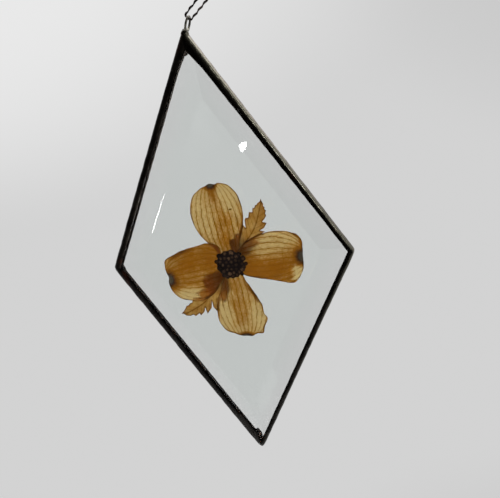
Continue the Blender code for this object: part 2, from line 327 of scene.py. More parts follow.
def makePlate(name, side, node, material):
    # side is -1 for the front plate and 1 for the back one; the flat face looks inwards
    depth = side * (glass["gap"] + glass["edge"]) / 2
    bpy.ops.mesh.primitive_cylinder_add(vertices=4, radius=1, depth=1, location=(0, depth, 0),
                                        rotation=(math.radians(90), 0, 0))
    plate = takeNew(name, (halfWidth, halfHeight, glass["edge"]))
    openMesh()
    pick("FACE", lambda face: face.normal.y * side > 0.9)
    bpy.ops.mesh.inset(thickness=glass["bevel"], depth=glass["middle"] - glass["edge"])
    crown = side * halfStack(glass["bevel"])
    nearCrown = lambda point: abs(point.co.y - crown) < 0.1 * mm
    pick("EDGE", lambda edge: nearCrown(edge.verts[0]) or nearCrown(edge.verts[1]))
    bpy.ops.mesh.bevel(offset=glass["ridge"], segments=glass["ridgeSteps"], affect="EDGES")
    closeMesh()
    settle(plate, material, "panel", "glass", 12, node)


# Soldered rim

rim = {
    "overlap": 1.6 * mm,  # of the lip on the glass
    "wall": 0.28 * mm,
    "clear": 0.15 * mm,  # between the glass's faces and the rim
    "sideClear": 0.25 * mm,  # and between its edge and the rim
    # the lip's rounding, as (further out, further from the middle) than its corner, in mm
    "lip": ((0, -0.12), (0.12, -0.02), (0.3, 0.02)),
    # the bead from there to its flank, as (out from the glass edge, depth from the middle), in mm
    "bulge": ((-0.9, 2.42), (-0.4, 2.28), (0.0, 2.08), (0.3, 1.84), (0.55, 1.52), (0.73, 1.12),
              (0.82, 0.7), (0.85, 0.25)),
    "cuts": (12, 11),
    # how far the bead reaches over the glass on each side, in shares of the overlap, at the
    # upper or right-hand end and at the lower or left-hand end
    "reach": {"topLeft": (1.15, 1.7), "topRight": (1.15, 0.32),
              "lowLeft": (1.85, 1.7), "lowRight": (0.78, 0.7)},
    # how far each side swells outwards, in mm: at its upper end, in its middle and at its lower end
    "swell": {"topLeft": (0.52, 0.47, 0.3), "topRight": (0.52, 0.45, 0.58),
              "lowLeft": (0.3, 0.27, 0.34), "lowRight": (0.58, 0.25, 0.34)},
    "cornerFill": 0.6,  # how much further the solder fills the top corner
    "lump": 0.11 * mm,
    "ripple": 0.05 * mm,
    "edgeWander": 0.07 * mm,
    "round": (0.6 * mm, 0.95 * mm),  # how far the corners are worn round, above and below
    "flapFrom": 0.832,  # where the second strip of foil starts on the lower left side
    "flap": 1.15 * mm,  # and how much further in its front lip reaches
    "heapCentre": Vector((0.2, 0, 87.95)) * mm,
    "heapRadii": Vector((1.5, 1.9, 2.4)) * mm,
}


def rimFinish():
    # Black patina over solder, with a painted reflection: lighter grey along the right-hand outer edge,
    # where the bright room behind is mirrored
    finish = Finish("patina solder", Metallic=1.0, Coat_Weight=0.15, Coat_Roughness=0.08)
    place = finish.place()
    broad = finish.cloud(place, 110, 3)
    fine = finish.cloud(place, 900, 4, 0.6)
    rust = finish.window(finish.cloud(place, 60, 2), 0.60, 0.74)
    worn = finish.window(finish.cloud(place, 420, 4, 0.65), 0.60, 0.80)
    flank = finish.attribute("flank") * (0.75 + 0.5 * broad)
    colour = finish.blend(finish.window(broad, 0.35, 0.7), srgb(22, 18, 16), srgb(44, 40, 35))
    colour = finish.blend(rust * 0.7, colour, srgb(92, 44, 26))
    # painted reflection: the flank's lighter grey stands in for the bright room that the metal mirrors
    colour = finish.blend(flank, colour, srgb(106, 103, 90))
    colour = finish.blend(worn * 0.4, colour, srgb(116, 112, 98))
    finish.feed(Base_Color=colour, Roughness=0.14 + 0.26 * fine + 0.06 * broad)
    finish.bump(fine * 0.25 + broad, 0.3, 0.0002)
    return finish.material


def foilFinish():
    # The inside of the rim, copper foil seen through the glass
    finish = Finish("copper foil", Metallic=0.2, Roughness=0.5)
    place = finish.place()
    spots = finish.window(finish.cloud(place, 300, 3), 0.4, 0.65)
    low = 1.0 - finish.window(finish.axes(place)[2], -0.1, -0.06)
    pale = finish.blend(spots, srgb(150, 132, 120), srgb(190, 172, 158))
    brown = finish.blend(spots, srgb(48, 28, 18), srgb(92, 54, 30))
    finish.feed(Base_Color=finish.blend(low, pale, brown))
    return finish.material


def rimSection():
    # The U as (distance out, depth), from the front lip round to the back one, then the channel
    lip = -rim["overlap"]
    inner = halfStack(-lip) + rim["clear"]
    outer = inner + rim["wall"]
    outside = [(lip, inner)] + [(lip + out * mm, outer + deep * mm) for out, deep in rim["lip"]]
    outside += [(out * mm, deep * mm) for out, deep in rim["bulge"]]
    channel = [(rim["sideClear"], halfStack(0) + rim["clear"])]
    front = [(out, -deep) for out, deep in channel + outside]
    return front + [(out, -deep) for out, deep in reversed(front)]


def outsetScale(out):
    return 1 + out * glass["side"] / (halfWidth * halfHeight)


def outFrom(x, z):
    # Distance out from the glass edge
    return (abs(x) / halfWidth + abs(z) / halfHeight - 1) * halfWidth * halfHeight / glass["side"]


def rimSide(x, z):
    # The side's name and how far along it the point is, 0 at its upper end and 1 at its lower
    name = ("top" if z > 0 else "low") + ("Left" if x < 0 else "Right")
    down = 1 - abs(z) / halfHeight if z > 0 else abs(z) / halfHeight
    return name, min(1.0, max(0.0, down))


def shapeBead(co):
    # Hand-run solder: its reach over the glass wanders, and its outside is lumpy
    x, y, z = co
    out = outFrom(x, z)
    side, down = rimSide(x, z)
    facing = -1 if y < 0 else 1
    here = Vector((x, 0, z))
    if out < -0.3 * mm:
        reach = mix(*rim["reach"][side], down)
        if z > 0:
            reach += rim["cornerFill"] * (1 - ease(down, 0.0, 0.16))
        wander = noise.noise(here * 350 + Vector((0, facing * 9, 0))) * rim["edgeWander"] * 1.6
        wander += noise.noise(here * 1100 + Vector((0, facing * 5, 0))) * rim["edgeWander"] * 0.7
        if side == "lowLeft" and down > rim["flapFrom"] and facing < 0:
            wander -= rim["flap"]
        share = ease(-out, 0.3 * mm, rim["overlap"])
        newOut = out * mix(1.0, reach, share) + wander * share
        slope = (glass["middle"] - glass["edge"]) / glass["bevel"]
        y += facing * slope * (out - newOut)
        out = newOut
    channelDepth = halfStack(max(0.0, -out)) + rim["clear"]
    if abs(y) > channelDepth + 0.03 * mm or out > rim["sideClear"] + 0.02 * mm:
        lump = noise.noise(here * 260 + Vector((0, y * 200, 0))) * rim["lump"]
        lump += noise.noise(here * 900 + Vector((0, y * 600, 3))) * rim["ripple"]
        lump -= 0.02 * mm
        if out > 0:
            out += lump * 0.8
        y += facing * lump * (1.0 if out < 0.5 * mm else 0.4)
    upper, middle, lower = rim["swell"][side]
    swell = mix(upper, lower, down) + (middle - (upper + lower) / 2) * 4 * down * (1 - down)
    out += swell * mm * ease(out, -0.5 * mm, 0.6 * mm)
    soft = rim["round"][0 if z > 0 else 1] * ease(out, -0.6 * mm, 0.5 * mm)
    scale = outsetScale(out) / (math.hypot(x, soft) / halfWidth + math.hypot(z, soft) / halfHeight)
    return Vector((x * scale, y, z * scale))


def makeRim():
    section = rimSection()
    bpy.ops.mesh.primitive_circle_add(vertices=4, radius=1, location=(0, section[0][1], 0),
                                      rotation=(math.radians(90), 0, 0))
    start = outsetScale(section[0][0])
    bead = takeNew("soldered_rim", (halfWidth * start, halfHeight * start, 1))
    openMesh()
    for (out, deep), (lastOut, lastDeep) in zip(section[1:], section):
        grow = outsetScale(out) / outsetScale(lastOut)
        bpy.ops.mesh.extrude_edges_move()
        bpy.ops.transform.resize(value=(grow, 1, grow), center_override=(0, 0, 0))
        bpy.ops.transform.translate(value=(0, deep - lastDeep, 0))
    pick("EDGE", lambda edge: edge.is_boundary)
    bpy.ops.mesh.bridge_edge_loops()
    for cuts in rim["cuts"]:
        # only the edges that run along the sides are divided
        pick("EDGE", lambda edge: abs(edge.verts[0].co.y - edge.verts[1].co.y) < 1e-7
             and edge.calc_length() > 4 * mm)
        bpy.ops.mesh.subdivide(number_cuts=cuts)
    closeMesh()
    faceOutwards(bead)
    movePoints(bead, shapeBead)
    return bead


def makeApex():
    # Solder heaped over the top point, where the ring is set in
    bpy.ops.mesh.primitive_ico_sphere_add(subdivisions=5, radius=1, location=(0, 0, 0))
    heap = takeNew("apex_heap")
    centre, radii = rim["heapCentre"], rim["heapRadii"]

    def lumpy(co):
        swell = 1 + 0.08 * noise.noise(co * 1.7) + 0.04 * noise.noise(co * 6)
        return centre + co * radii * swell

    movePoints(heap, lumpy)
    return heap


def flankReflectionShare(x, y, z):
    # How much painted reflection the patina takes: lighter grey along the right-hand outer edge, where
    # the bright room is mirrored, less low down
    high = ease(z, 40 * mm, 75 * mm)
    edge = ease(outFrom(x, z), mix(0.4, -0.3, high) * mm, mix(0.95, 0.5, high) * mm)
    return edge * ease(x, -0.5 * mm, 2.5 * mm) * mix(0.3, 1.0, ease(z, -70 * mm, -5 * mm))


def finishRim(bead, heap, material, foil):
    applyModifier(bead, "BOOLEAN", object=heap, operation="UNION", solver="EXACT")
    bpy.data.objects.remove(heap)
    bead.data.materials.clear()
    bead.data.materials.append(material)
    bead.data.materials.append(foil)
    for face in bead.data.polygons:
        x, y, z = face.center
        inset = -outFrom(x, z)
        inward = face.normal.y * y < 0 and abs(y) < halfStack(max(0.0, inset)) + rim["clear"] + 0.2 * mm
        face.material_index = 1 if inward else 0
    # the flank value carries the painted reflection along the right-hand outer edge
    giveValues(bead, "flank", [flankReflectionShare(*v.co) for v in bead.data.vertices])
    settle(bead, None, "panel", "solder", 50, "solder_border")


# Ring and chain

wires = {
    "ringRadius": 2.6 * mm,
    "ringWire": 0.43 * mm,
    "ringLean": math.radians(22),
    "ringYaw": math.radians(5),  # not quite square to the panel
    "ringCentre": Vector((1.97, 0, 91.79)) * mm,
    "linkPitch": 12.0 * mm,
    "linkBend": 1.43 * mm,
    "linkWide": 0.43 * mm,  # half the twisted strip's width
    "linkThin": 0.25 * mm,  # half its thickness
    "linkTwist": 3.1 * mm,  # length of a half turn
    "linkRaise": 0.5 * mm,  # up along the chain, till the lower link all but rests on the ring
    "linkCrinkle": 0.12 * mm,  # how far the strip waves to each side
    "hangRadius": 5.0 * mm,
    "hangWire": 0.5 * mm,
}
chainAlong = Vector((math.sin(hanging["chainLean"]), 0, math.cos(hanging["chainLean"])))
chainAcross = Vector((-math.cos(hanging["chainLean"]), 0, math.sin(hanging["chainLean"])))


# For each wire: metallic share, size of its film and patches, patch edges, its two colours, how much
# soot the film holds and the least roughness
wireLooks = {
    "tinned wire": (0.95, 500, 180, (0.35, 0.65), (66, 60, 54), (150, 147, 132), 0.7, 0.2),
    "dark chain wire": (0.85, 700, 220, (0.4, 0.65), (40, 31, 30), (92, 76, 70), 0.0, 0.26),
}


def wireFinish(name):
    metallic, filmScale, patchScale, edges, dull, bright, soot, rough = wireLooks[name]
    finish = Finish(name, Metallic=metallic)
    place = finish.place()
    film = finish.cloud(place, filmScale, 4, 0.6)
    patch = finish.window(finish.cloud(place, patchScale, 2), *edges)
    colour = finish.blend(patch, srgb(*dull), srgb(*bright))
    colour = finish.blend(finish.window(film, 0.5, 0.7) * soot, colour, srgb(40, 34, 30))
    finish.feed(Base_Color=colour, Roughness=rough + 0.25 * film)
    finish.bump(film, 0.3, 0.0001)
    return finish.material


def spinRing(name, centre, radius, wire, across, axis, steps):
    # A round of wire turned about its axis, slightly uneven as bent by hand
    start = centre + across * radius
    bpy.ops.mesh.primitive_circle_add(vertices=14, radius=wire, location=start)
    bpy.context.object.rotation_euler = Matrix((across, axis, across.cross(axis))).transposed().to_euler()
    ring = takeNew(name)
    openMesh()
    bpy.ops.mesh.select_all(action="SELECT")
    bpy.ops.mesh.spin(steps=steps, angle=math.tau, center=centre, axis=axis)
    closeMesh()
    faceOutwards(ring)
    return ring


def makeSolderedRing(material):
    up = Vector((math.sin(wires["ringLean"]), 0, math.cos(wires["ringLean"])))
    axis = Matrix.Rotation(wires["ringYaw"], 3, up) @ up.cross(Vector((0, 1, 0))).normalized()
    centre = wires["ringCentre"]
    ring = spinRing("tinned_ring", centre, wires["ringRadius"], wires["ringWire"], up, axis, 72)

    def swollen(co):
        # solder creeps up the wire from the rim
        low = ease(-(co - centre).dot(up), 0.9 * mm, 2.6 * mm)
        spoke = (co - centre) - axis * (co - centre).dot(axis)
        core = centre + spoke.normalized() * wires["ringRadius"]
        wobble = 1 + 0.05 * noise.noise(co * 1400)
        return core + (co - core) * (wobble + 0.4 * low)

    movePoints(ring, swollen)
    settle(ring, material, "panel", "wire", 60, "soldered_ring")


def linkPath(start, across, count):
    # A long loop with two straight legs and two round bends
    leg, bend = wires["linkPitch"], wires["linkBend"]
    arc = math.pi * bend
    total = 2 * leg + 2 * arc
    points = []
    for i in range(count):
        s = total * i / count
        if s < leg:
            along, side = s, bend
        elif s < leg + arc:
            turn = (s - leg) / bend
            along, side = leg + math.sin(turn) * bend, math.cos(turn) * bend
        elif s < 2 * leg + arc:
            along, side = 2 * leg + arc - s, -bend
        else:
            turn = (s - 2 * leg - arc) / bend
            along, side = -math.sin(turn) * bend, -math.cos(turn) * bend
        points.append(start + chainAlong * along + across * side)
    return points, total


def makeLink(name, node, start, across, material, phase):
    # A flat strip twisted along its length, bent into a link: a strip of rounded section is
    # carried along the path by hand, because the path and the twist both close on themselves
    steps, around = 240, 12
    points, total = linkPath(start, across, steps)
    flat = chainAlong.cross(across).normalized()
    halfTurns = round(total / wires["linkTwist"])
    bpy.ops.mesh.primitive_torus_add(major_segments=steps, minor_segments=around, major_radius=10 * mm,
                                     minor_radius=1 * mm)
    link = takeNew(name)
    for i in range(steps):
        ahead = (points[(i + 1) % steps] - points[i - 1]).normalized()
        outward = ahead.cross(flat).normalized()
        turn = math.pi * halfTurns * i / steps + phase
        wave = math.sin(math.tau * halfTurns * i / steps + phase)
        core = points[i] + outward * wires["linkCrinkle"] * wave
        wide = outward * math.cos(turn) + flat * math.sin(turn)
        thin = ahead.cross(wide)
        for k in range(around):
            angle = math.tau * k / around
            a = math.copysign(abs(math.cos(angle)) ** 0.7, math.cos(angle)) * wires["linkWide"]
            b = math.copysign(abs(math.sin(angle)) ** 0.7, math.sin(angle)) * wires["linkThin"]
            link.data.vertices[i * around + k].co = core + wide * a + thin * b
    faceOutwards(link)
    settle(link, material, "chain", "chain", 60, node)


def makeHangRing(material):
    ring = spinRing("top_ring", Vector(), wires["hangRadius"], wires["hangWire"], chainAcross,
                    Vector((0, 1, 0)), 96)
    seam = -chainAcross

    def worn(co):
        # the two butted ends of the wire leave a fine groove
        spoke = Vector((co.x, 0, co.z)).normalized()
        core = spoke * wires["hangRadius"]
        groove = 1 - ease(abs(spoke.angle(seam)), 0.0, 0.06)
        return core + (co - core) * (1 - 0.18 * groove + 0.04 * noise.noise(co * 900))

    movePoints(ring, worn)
    ring.data.transform(Matrix.Translation(chainAlong * wires["linkRaise"]))
    settle(ring, material, "chain", "chain", 60, "hang_ring")


# Pressed flower

flower = {
    "centre": Vector((1.85, 0, -1.35)) * mm,
    "unit": 0.99 * mm,
    "sheet": 0.12 * mm,
    "cell": 0.42 * mm,
    "headDepth": -0.42 * mm,  # the layers from front to back, from the middle of the gap
    "sideDepth": -0.12 * mm,
    "uprightDepth": 0.16 * mm,
    "leafDepth": 0.44 * mm,
    "cockle": 0.045 * mm,
    "vein": 0.012 * mm,
    "ragged": 0.22 * mm,  # how far a bract's margin wanders
    "veins": 5,  # on each side of the middle
    # the veins spread by this many mm, from a foot this wide, between these shares of the length
    "veinSpread": 23.0,
    "veinFoot": 0.4,
    "veinEnds": (0.02, 0.985),
    "uvSpan": 40 * mm,
    "share": 0.93,  # of the light that passes each face of a sheet
    "paleThrough": (0.99, 0.84, 0.54),
    "deepThrough": (0.70, 0.40, 0.075),
    "paleFace": srgb(216, 184, 128),
    "deepFace": srgb(176, 124, 54),
    "veinFace": srgb(96, 54, 22),
    "callusFace": srgb(106, 95, 76),
}

# Angle, depth, then the outline as (along, left) in outline units from the flower's centre
bracts = {
    "bract_top": (94.2, "uprightDepth", (
      (4.2, 2.6), (7.4, 5), (12.5, 9.1), (18, 11.3), (24, 11.5), (29.3, 9.4), (32.3, 5.8),
      (33.4, 2.6), (34.1, 0.5), (33.5, -1.6), (33.7, -3.4), (32.3, -7), (28, -9.9), (21.5, -10.5),
      (15, -9.1), (9, -6.3), (4.2, -3.2))),
    "bract_right": (2.5, "sideDepth", (
      (4.2, 4), (8, 8.3), (13.5, 10.7), (20, 11.6), (25.3, 11), (29.3, 8.8), (30.9, 5),
      (30.6, 0.2), (30.2, -3), (29.3, -6.2), (26.4, -9.8), (23.6, -10.6), (16.5, -8.8),
      (8.5, -6.7), (4.2, -4.2))),
    "bract_bottom": (-88.8, "uprightDepth", (
      (4.2, 3.2), (8, 5), (12.5, 7.2), (18.6, 9.7), (22.5, 10), (25.3, 11), (29.5, 8.9),
      (31.6, 8), (31.8, 5), (32.9, 2.8), (32.5, 0.2), (32.3, -2.2), (31.2, -4.6),
      (30.3, -7), (28.4, -9), (23.9, -10.6), (17.9, -9.9), (12.1, -7.4), (4.2, -2.8))),
    "bract_left": (-172.3, "sideDepth", (
      (4.2, 4.2), (7, 7.3), (11, 11), (15.7, 13), (20, 12.8), (26, 11), (28.9, 8),
      (29.9, 4.8), (29.7, 2.2), (29.1, 0.2), (29.4, -2.2), (29.2, -5), (27.7, -7.5),
      (22, -9.5), (16.5, -10.2), (10.4, -10.6), (7.6, -10.7), (4, -9.6), (2.6, -7.6), (3, -4))),
}
leaves = {
    "share": 0.88,
    "paleThrough": (0.93, 0.74, 0.38),
    "deepThrough": (0.72, 0.42, 0.13),
    # angle, midrib as (offset, bow, where along, over what length), outline as above
    "leaf_upper": (56.2, (0.2, -2.6, 18, 17), (
      (4.6, 0.9), (7, 3.4), (9.1, 4.9), (10.9, 2.9), (12.6, 3.8), (14, 1.9), (15.8, 2.6),
      (17.8, 2.5), (16.9, 0.6), (18.5, 1.6), (19.8, 2.4), (20.8, 2.5), (21.4, 1.5), (23.7, 2.2),
      (24.3, 0.9), (26, 1.6), (26.3, 0.9), (27.4, 1.2), (27.9, 0.6), (28.6, 0.7), (29.7, 0.1),
      (31, 0.2), (30.2, -0.5), (29.5, -1.6), (28.7, -1.8), (28.5, -2.7), (27.8, -2.8),
      (27.6, -3.6), (26.3, -3.9), (25.7, -4.6), (24.4, -4.5), (22.6, -4.2), (23.1, -6),
      (20.7, -5.9), (18.9, -4.8), (19.5, -6.9), (17.2, -5.4), (15.3, -3.9), (14.5, -6.8),
      (12.2, -6), (10.2, -4.6), (8.2, -5.6), (6.4, -3.6), (4.6, -1.2))),
    "leaf_lower": (-141.5, (0.4, 3.1, 21, 18), (
      (4.6, 1.6), (8.9, 7), (12.4, 8.8), (15, 9.7), (14.8, 6.4), (18.2, 9.2), (21, 9.7),
      (20.7, 7.6), (18.9, 5.1), (21.7, 7.3), (25.1, 7.9), (23.6, 5), (25.3, 6.3), (27.9, 6.5),
      (27.8, 5.3), (30.1, 5.1), (30.3, 3.9), (31.7, 3.5), (32.6, 2.6), (33.1, 2.2), (33.4, 0.8),
      (34.2, 0), (32.3, -0.1), (30.2, -0.6), (29.8, -0.9), (28.5, -0.3), (27.7, -0.6),
      (26.4, -0.1), (25.2, -1), (22.8, -0.4), (21.1, 1), (21.2, -1.7), (18.4, -1.6),
      (16.3, -0.3), (14.5, -4.2), (11.1, -3.8), (8, -2.6), (4.6, -1.2))),
}


def smoothOutline(points, steps):
    # A closed Catmull-Rom curve through the points
    curve = []
    count = len(points)
    for i in range(count):
        a, b, c, d = (Vector(points[(i + k) % count]) for k in (-1, 0, 1, 2))
        for step in range(steps):
            t = step / steps
            curve.append(0.5 * (2 * b + (c - a) * t + (2 * a - 5 * b + 4 * c - d) * t * t
                                + (3 * b - a - 3 * c + d) * t * t * t))
    return curve


def distanceInside(points, outline):
    # Each point's distance to the outline, for the dark margin
    starts = np.array(outline)
    ends = np.roll(starts, -1, axis=0)
    spans = ends - starts
    lengths = np.maximum((spans ** 2).sum(1), 1e-14)
    offsets = points[:, None, :] - starts[None]
    share = np.clip((offsets * spans[None]).sum(2) / lengths[None], 0, 1)
    gaps = offsets - share[..., None] * spans[None]
    return np.sqrt((gaps ** 2).sum(2)).min(1)


def cutSheet(name, outline):
    # A fine grid thickened to the pressed sheet and cut to the outline. It lies along x, its left
    # side towards z, and faces the front.
    low = Vector((min(p.x for p in outline), min(p.y for p in outline)))
    high = Vector((max(p.x for p in outline), max(p.y for p in outline)))
    size = high - low + Vector((1, 1)) * 2 * mm
    middle = (low + high) / 2
    bpy.ops.mesh.primitive_grid_add(x_subdivisions=round(size.x / flower["cell"]),
                                    y_subdivisions=round(size.y / flower["cell"]), size=1,
                                    location=(middle.x, 0, middle.y), rotation=(math.radians(90), 0, 0))
    sheet = takeNew(name, (size.x, size.y, 1))
    applyModifier(sheet, "SOLIDIFY", thickness=flower["sheet"], offset=0)
    bpy.ops.mesh.primitive_circle_add(vertices=len(outline), radius=1, fill_type="NGON")
    cutter = takeNew("outline_cutter")
    for point, place in zip(cutter.data.vertices, outline):
        point.co = (place.x, -1 * mm, place.y)
    openMesh()
    bpy.ops.mesh.select_all(action="SELECT")
    extrude(2 * mm)
    closeMesh()
    faceOutwards(cutter)
    applyModifier(sheet, "BOOLEAN", object=cutter, operation="INTERSECT", solver="EXACT")
    bpy.data.objects.remove(cutter)
    return sheet


def mapSheet(sheet, outline):
    # The pattern's map and the margin's distance, both in the sheet's own flat
    layer = sheet.data.uv_layers.new(name="sheetMap")
    for loop in sheet.data.loops:
        co = sheet.data.vertices[loop.vertex_index].co
        layer.data[loop.index].uv = (co.x / flower["uvSpan"], 0.5 + co.z / flower["uvSpan"])
    flat = np.array([(v.co.x, v.co.z) for v in sheet.data.vertices])
    giveValues(sheet, "margin", (distanceInside(flat, outline) / mm).astype(np.float32))


def pressSheet(name, outline, angle, depth, wave, material, slot):
    # Cut out, cockled a little by wave, turned to its angle and laid between the plates
    sheet = cutSheet("pressed_" + name, outline)
    mapSheet(sheet, outline)
    movePoints(sheet, lambda co: co + Vector((0, wave(co), 0)))
    turn = Matrix.Rotation(-math.radians(angle), 4, "Y")
    sheet.data.transform(Matrix.Translation(flower["centre"] + Vector((0, depth, 0))) @ turn)
    settle(sheet, material, "panel", slot, 60, name)


def veinAcross(u, v, length):
    # Which vein a point lies on: the lines spread from the base and close again at the tip
    least, most = flower["veinEnds"]
    t = min(most, max(least, u / length))
    return v / mm / (flower["veinSpread"] * math.sqrt(t * (1.0 - t)) + flower["veinFoot"])


def makeBract(name):
    angle, depthName, points = bracts[name]
    outline = smoothOutline([(u * flower["unit"], v * flower["unit"]) for u, v in points], 5)
    for point in outline:
        wander = noise.noise_vector(Vector((point.x * 420, point.y * 420, angle)))
        point += wander.xy * flower["ragged"]
    length = max(p.x for p in outline) + 0.6 * mm
    seed = Vector((angle, 0, 0))

    def wave(co):
        s = veinAcross(co.x, co.z, length)
        groove = math.cos(math.tau * flower["veins"] * s) * flower["vein"] if abs(s) < 1.15 else 0
        return noise.noise(Vector((co.x * 90, 0, co.z * 160)) + seed) * flower["cockle"] + groove

    pressSheet(name, outline, angle, flower[depthName], wave, bractFinish(name), "bract")


def makeLeaf(name):
    angle, ribAt, points = leaves[name]
    outline = [Vector((u * flower["unit"], v * flower["unit"])) for u, v in points]
    seed = Vector((angle, 0, 0))

    def wave(co):
        return noise.noise(Vector((co.x * 120, 0, co.z * 160)) + seed) * flower["cockle"]

    pressSheet(name, outline, angle, flower["leafDepth"], wave, leafFinish(name, ribAt), "leaf")


def sheetFinish(name, rough):
    # A pressed sheet's finish, its millimetres along and across, and both as one place
    finish = Finish(name.replace("_", " ") + " finish", Roughness=rough, Specular_IOR_Level=0.3)
    span = flower["uvSpan"] / mm
    along, across, _ = finish.axes(finish.node("UVMap", {"uv_map": "sheetMap"}))
    u = along * span
    v = (across - 0.5) * span
    return finish, u, v, finish.flat(u, v)


def bractFinish(name):
    tone = bractTones[name]
    finish, u, v, flat = sheetFinish(name, 0.6)
    margin = finish.attribute("margin")
    least, most = flower["veinEnds"]
    t = finish.sum("MINIMUM", finish.sum("MAXIMUM", u / tone["length"], least), most)
    s = v / (finish.sum("SQRT", t * (1.0 - t)) * flower["veinSpread"] + flower["veinFoot"])
    s = s + (finish.cloud(flat, 0.22, 2) - 0.5) * 0.09 + (finish.cloud(flat, 0.9, 2) - 0.5) * 0.03
    fine = finish.cloud(flat, 2.6, 4, 0.6)
    broad = finish.cloud(flat, 0.16, 2)
    streaks = finish.cloud(finish.flat(u * 0.09, s * 9.0), 2.4, 4, 0.6)
    fade = finish.window(finish.cloud(flat, 0.5, 2), 0.30, 0.62)
    rib = finish.stripes(s * flower["veins"], 0.15)
    between = finish.stripes(s * (2 * flower["veins"]) + 0.5, 0.13)
    cells = finish.node("TexVoronoi", {"feature": "DISTANCE_TO_EDGE"},
                        {"Vector": finish.flat(u * 0.55, s * 13.0), "Scale": 1.0})
    net = 1.0 - finish.window(cells, 0.0, 0.16)
    foot = 1.0 - finish.window(u, 4.0, 15.0)
    edge = 1.0 - finish.window(margin, 0.05, 0.5)
    # how deep the tone is, from pale gold to amber
    deep = tone["deep"] + (broad - 0.5) * 0.7 + (streaks - 0.5) * 0.8 + foot * 0.2
    deep = deep + rib * (0.5 + 0.3 * fade) + between * (0.1 + 0.2 * fade) + net * 0.2 + edge * 0.4
    # how much of the light is stopped
    stop = foot * 0.07 + rib * (0.15 + 0.1 * fade) + between * (0.05 + 0.08 * fade)
    stop = stop + net * fade * 0.1 + edge * 0.3 + finish.window(fine, 0.5, 0.8) * 0.12
    for place, size, depth, dark in tone["marks"]:
        spot = finish.spot(u, v, place, size)
        deep = deep + spot * depth
        stop = stop + spot * dark
    for (low, high), side, width, dark in tone["folds"]:
        strip = (1.0 - finish.window(margin, width * 0.5, width)) * finish.window(v * side, 0.5, 2.5)
        strip = strip * finish.line(u, (low + high) / 2, (high - low) / 2)
        deep = deep + strip * 0.8
        stop = stop + strip * dark
    du = (u - tone["tipAt"][0]) * (1 / tone["tipSize"][0])
    dv = (v - tone["tipAt"][1]) * (1 / tone["tipSize"][1])
    away = finish.sum("SQRT", du * du + dv * dv) + (fine - 0.5) * 0.7 + (streaks - 0.5) * 0.8
    halo = 1.0 - finish.window(away, 0.8, 2.5)
    callus = 1.0 - finish.window(away, 0.7, 1.15)
    deep = deep + halo * 1.6
    stop = stop + halo * (0.2 + 0.5 * halo) + callus * 0.3
    depth = finish.window(deep, 0.0, 1.0)
    colour = finish.blend(depth, flower["paleFace"], flower["deepFace"])
    colour = finish.blend(finish.window(stop, 0.1, 0.7), colour, flower["veinFace"])
    colour = finish.blend(callus, colour, flower["callusFace"])
    finish.feed(Base_Color=colour)
    finish.bump(rib + fine * 0.4, 0.25, 0.00006)
    share = finish.sum("MAXIMUM", flower["share"] - stop, 0.04)
    finish.letThrough(share, depth, flower["paleThrough"], flower["deepThrough"])
    return finish.material


# For each bract: how deep its tone is, its length, where its callus sits, marks as (place, size,
# change of tone, light stopped), and folded margins as (along, side, width, light stopped)
bractTones = {
    "bract_top": {
        "deep": 0.26, "length": 34.6, "tipAt": (33.4, 0.2), "tipSize": (1.3, 1.5),
        "marks": (((14, -1), (11, 5), 0.25, 0), ((28, -6.5), (8, 7), -0.3, 0),
                  ((22, 7), (14, 6), -0.2, 0), ((22.3, -5.6), (0.4, 0.9), 0.6, 0.6),
                  ((30, 0), (5, 2.4), 0.5, 0.1)),
        "folds": (((8, 20), -1, 1.1, 0.3), ((22, 28), -1, 0.5, 0.35), ((17, 25), 1, 0.5, 0.25)),
    },
    "bract_right": {
        "deep": 0.55, "length": 31.6, "tipAt": (30, -0.2), "tipSize": (1.9, 2.2),
        "marks": (((18, 8), (17, 8), -0.45, 0), ((16, -5), (16, 6), 0.3, 0.03),
                  ((26.4, -6.8), (0.6, 4.2), -0.9, -0.05), ((27.6, -6.6), (4.2, 5), -0.8, -0.04),
                  ((24.8, -9), (2, 0.7), -0.5, 0)),
        "folds": (((3, 20), 1, 0.8, 0.4), ((26, 33), 1, 0.8, 0.15), ((4, 16), -1, 0.9, 0.25)),
    },
    "bract_bottom": {
        "deep": 0.24, "length": 33.6, "tipAt": (32.5, 0.2), "tipSize": (1.1, 1.9),
        "marks": (((18, 0), (11, 5), 0.2, 0), ((22, -7), (11, 5), -0.3, 0),
                  # the last mark, a small pale spot near the base that lets nearly all light through, is
                  # a painted glint
                  ((24, 7), (9, 5), -0.3, 0), ((12.9, -1.9), (1.1, 0.35), -1.5, -0.06)),
        "folds": (((6, 21), 1, 1.7, 0.4), ((12, 26), -1, 1.1, 0.2), ((25, 34), 1, 0.8, 0.2),
                  ((27, 34), -1, 0.8, 0.2)),
    },
    "bract_left": {
        "deep": 0.55, "length": 30, "tipAt": (28.7, 1.2), "tipSize": (1.9, 2.3),
        "marks": (((21.5, 10.5), (10, 5.5), -0.75, -0.03), ((18, -4), (13, 6), 0.2, 0.02),
                  ((26, -6), (4, 5), -0.25, 0), ((11.5, 8), (5, 2), 0.1, 0.1)),
        "folds": (((12, 29), -1, 2.2, 0.3), ((6, 18), 1, 1.2, 0.35), ((20, 28), 1, 0.4, 0.15)),
    },
}


